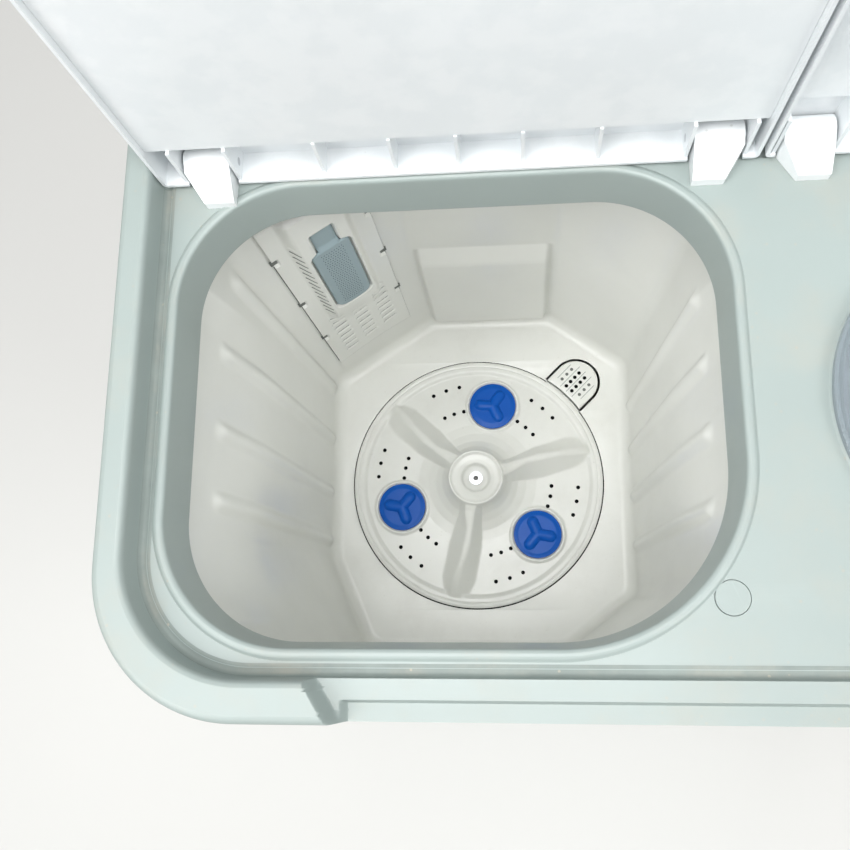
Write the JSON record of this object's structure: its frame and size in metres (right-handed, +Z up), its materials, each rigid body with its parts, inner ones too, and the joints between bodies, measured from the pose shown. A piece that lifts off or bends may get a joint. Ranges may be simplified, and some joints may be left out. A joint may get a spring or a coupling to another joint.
{
  "type": "top load washing machine",
  "caption": "Free-standing top load washing machine with a wash tub and pulsator on the left, a spin basket on the right, hinged lids and a rear console.",
  "frame": {"origin": "floor level, centre of the machine's footprint box", "axes": "+Z up, front faces -Y, +X to the user's right"},
  "size_m": [0.76, 0.504, 1.249],
  "materials": {
    "cabinet_white": "satin moulded plastic",
    "deck_blue": "pale blue-gray moulded plastic, satin",
    "lid_white": "white moulded plastic, satin",
    "tub_white": "off-white polypropylene, satin",
    "pulsator_white": "white moulded plastic, semi-gloss",
    "blue_plastic": "saturated blue moulded plastic",
    "filter_slate": "slate blue-gray moulded plastic",
    "console_gray": "light gray moulded plastic",
    "knob_white": "white moulded plastic",
    "clear_lid": "pale tinted plastic",
    "steel": "zinc-plated steel",
    "basket_steel": "brushed stainless steel",
    "galvanised": "galvanised sheet",
    "motor_gray": "painted steel housing",
    "cast_alloy": "die-cast alloy",
    "base_gray": "dark gray polypropylene",
    "black_rubber": "matte rubber",
    "ivory_plastic": "ivory moulded plastic",
    "pipe_gray": "gray moulded pipe"
  },
  "bodies": {
    "machine": {"cabinet": "cabinet_white", "base_pan": "base_gray", "feet": "black_rubber", "rear_cover": "galvanised", "rear_cover_screws": "steel", "top_cover": "deck_blue", "deck_cap": "deck_blue", "wash_hinge_posts": "lid_white", "spin_hinge_posts": "lid_white", "console": "console_gray", "console_screws": "steel", "wash_tub": "tub_white", "drain_strainer": "tub_white", "lint_filter_frame": "tub_white", "shaft_seal": "black_rubber", "gearbox": "cast_alloy", "gearbox_bolts": "steel", "motor_bracket": "galvanised", "wash_motor": "motor_gray", "drive_belt": "black_rubber", "spin_tub": "tub_white", "bellows_seal": "black_rubber", "spin_motor": "motor_gray", "damper_springs": "black_rubber", "damper_bolts": "steel", "inner_lid_pins": "deck_blue", "wash_timer": "ivory_plastic", "spin_timer": "ivory_plastic", "selector_box": "ivory_plastic", "drain_valve": "ivory_plastic", "drain_pipe": "pipe_gray", "water_inlets": "knob_white", "cable_gland": "black_rubber", "motor_capacitors": "galvanised"},
    "wash_lid": {"wash_lid": "lid_white", "wash_lid_liner": "lid_white", "wash_lid_pins": "steel"},
    "spin_lid": {"spin_lid": "lid_white", "spin_lid_liner": "lid_white", "spin_lid_pins": "steel"},
    "inner_lid": {"spin_inner_lid": "clear_lid"},
    "pulsator": {"pulsator": "pulsator_white", "pulsator_screw": "steel", "pulsator_shaft": "steel", "mini_pulsator_clips": "steel"},
    "mini_1": {"mini_pulsator_1": "blue_plastic"},
    "mini_2": {"mini_pulsator_2": "blue_plastic"},
    "mini_3": {"mini_pulsator_3": "blue_plastic"},
    "gear_pulley": {"gearbox_pulley": "cast_alloy"},
    "wash_rotor": {"motor_pulley": "cast_alloy"},
    "spin_rotor": {"spin_basket": "basket_steel", "spin_shaft": "steel", "brake_drum": "steel"},
    "brake": {"brake_arm": "motor_gray"},
    "wash_knob": {"wash_timer_knob": "knob_white"},
    "selector_knob": {"drain_selector_knob": "knob_white"},
    "spin_knob": {"spin_timer_knob": "knob_white"},
    "plunger": {"drain_plunger": "black_rubber"},
    "filter": {"lint_filter_insert": "filter_slate"}
  },
  "joints": [
    {"name": "wash_lid_hinge", "type": "hinge", "parent": "machine", "child": "wash_lid", "pos_m": [0, 0.141, 0.885], "axis": [1, 0, 0], "range_deg": [0, 90]},
    {"name": "spin_lid_hinge", "type": "hinge", "parent": "machine", "child": "spin_lid", "pos_m": [0, 0.141, 0.885], "axis": [1, 0, 0], "range_deg": [0, 90]},
    {"name": "inner_lid_hinge", "type": "hinge", "parent": "machine", "child": "inner_lid", "pos_m": [0.225, 0.076, 0.878], "axis": [1, 0, 0], "range_deg": [-80, 0]},
    {"name": "pulsator_spin", "type": "hinge", "parent": "machine", "child": "pulsator", "pos_m": [-0.148, -0.023, 0.402], "axis": [0, 0, 1], "continuous": true},
    {"name": "gear_pulley_spin", "type": "hinge", "parent": "machine", "child": "gear_pulley", "pos_m": [-0.148, -0.023, 0.271], "axis": [0, 0, 1], "continuous": true},
    {"name": "wash_motor_spin", "type": "hinge", "parent": "machine", "child": "wash_rotor", "pos_m": [-0.178, -0.155, 0.271], "axis": [0, 0, 1], "continuous": true},
    {"name": "basket_spin", "type": "hinge", "parent": "machine", "child": "spin_rotor", "pos_m": [0.225, -0.047, 0.424], "axis": [0, 0, 1], "continuous": true},
    {"name": "brake_pivot", "type": "hinge", "parent": "machine", "child": "brake", "pos_m": [0.287, -0.013, 0.216], "axis": [0, 0, 1], "range_deg": [0, 6]},
    {"name": "wash_timer_turn", "type": "hinge", "parent": "machine", "child": "wash_knob", "pos_m": [-0.26, 0.189, 0.9155], "axis": [0, -0.558, 0.8298], "range_deg": [-330, 0]},
    {"name": "selector_turn", "type": "hinge", "parent": "machine", "child": "selector_knob", "pos_m": [-0.08, 0.189, 0.9155], "axis": [0, -0.558, 0.8298], "range_deg": [-90, 0]},
    {"name": "spin_timer_turn", "type": "hinge", "parent": "machine", "child": "spin_knob", "pos_m": [0.225, 0.189, 0.9155], "axis": [0, -0.558, 0.8298], "range_deg": [-300, 0]},
    {"name": "plunger_lift", "type": "slide", "parent": "machine", "child": "plunger", "axis": [0, 0, 1], "range_m": [0, 0.012]},
    {"name": "filter_slide", "type": "slide", "parent": "machine", "child": "filter", "axis": [0.5387, -0.8425, 0], "range_m": [0, 0.06]},
    {"name": "mini_1_spin", "type": "hinge", "parent": "pulsator", "child": "mini_1", "pos_m": [-0.12783, 0.07188, 0.405], "axis": [0, 0, 1], "continuous": true},
    {"name": "mini_2_spin", "type": "hinge", "parent": "pulsator", "child": "mini_2", "pos_m": [-0.24025, -0.05298, 0.405], "axis": [0, 0, 1], "continuous": true},
    {"name": "mini_3_spin", "type": "hinge", "parent": "pulsator", "child": "mini_3", "pos_m": [-0.07591, -0.08791, 0.405], "axis": [0, 0, 1], "continuous": true}
  ],
  "couplings": [
    {"joint": "gear_pulley_spin", "follows": "pulsator_spin", "ratio": 4},
    {"joint": "wash_motor_spin", "follows": "pulsator_spin", "ratio": 12.224},
    {"joint": "brake_pivot", "follows": "spin_lid_hinge", "ratio": 0.066667},
    {"joint": "selector_turn", "follows": "plunger_lift", "rad_per_m": -130.9}
  ]
}
